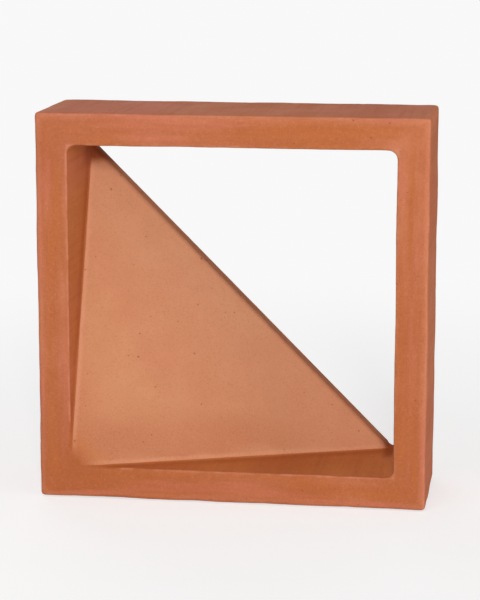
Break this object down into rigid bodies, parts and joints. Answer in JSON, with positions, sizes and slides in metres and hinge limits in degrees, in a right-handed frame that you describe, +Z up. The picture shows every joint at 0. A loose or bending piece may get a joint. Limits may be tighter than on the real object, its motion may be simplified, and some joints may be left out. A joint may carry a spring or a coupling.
{
  "type": "terracotta breeze block",
  "caption": "Square fired-clay ventilation block, open right through in one triangular half, with a sloping triangular panel filling the other half.",
  "frame": {"origin": "centre of the lower bed face, which is the middle of the bounding box's bottom", "axes": "+Z up as laid, +X to the right when looking at the front, +Y from the front face to the back face; the panel's flush corner is at -X, low Z, on the -Y face"},
  "size_m": [0.19, 0.065, 0.19],
  "materials": {
    "terracotta": "unglazed fired clay, matte, lightly mottled orange-brown"
  },
  "bodies": {
    "root": {"breeze_block": "terracotta"}
  },
  "joints": []
}
